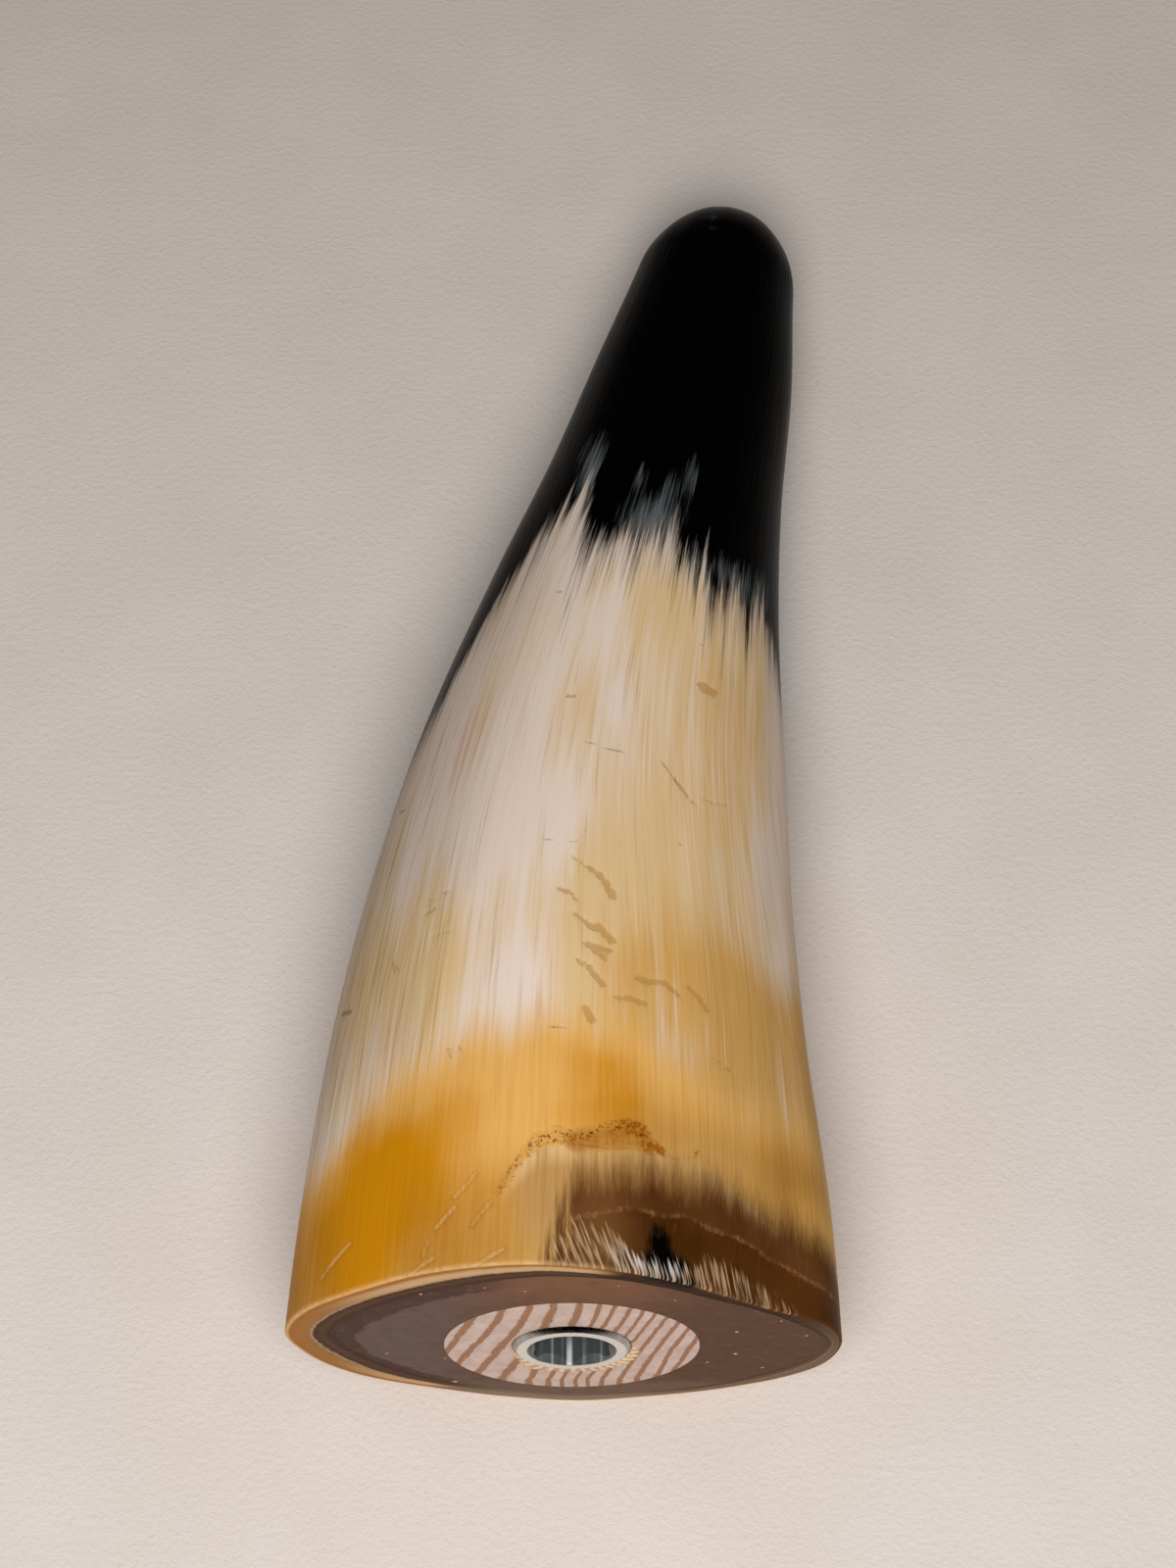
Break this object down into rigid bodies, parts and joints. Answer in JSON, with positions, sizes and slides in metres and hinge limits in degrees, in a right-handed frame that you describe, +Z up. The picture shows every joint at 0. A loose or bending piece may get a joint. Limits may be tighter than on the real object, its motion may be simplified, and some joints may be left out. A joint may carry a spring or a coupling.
{
  "type": "horn with threaded insert",
  "caption": "Blunt curved buffalo horn, black at the tip and honey at the base, its hollow filled and fitted with a threaded insert for mounting.",
  "frame": {"origin": "middle of the bounding box, on the surface that the horn lies on", "axes": "+Z up; +Y from the cut face towards the tip; the horn bends towards +X as it nears the tip"},
  "size_m": [0.061, 0.1632, 0.0454],
  "materials": {
    "horn": "satin",
    "filler": "matte",
    "softwood": "matte",
    "zinc_alloy": "satin"
  },
  "bodies": {
    "root": {"horn": "horn", "resin_fill": "filler", "dowel": "softwood", "threaded_insert": "zinc_alloy"}
  },
  "joints": []
}
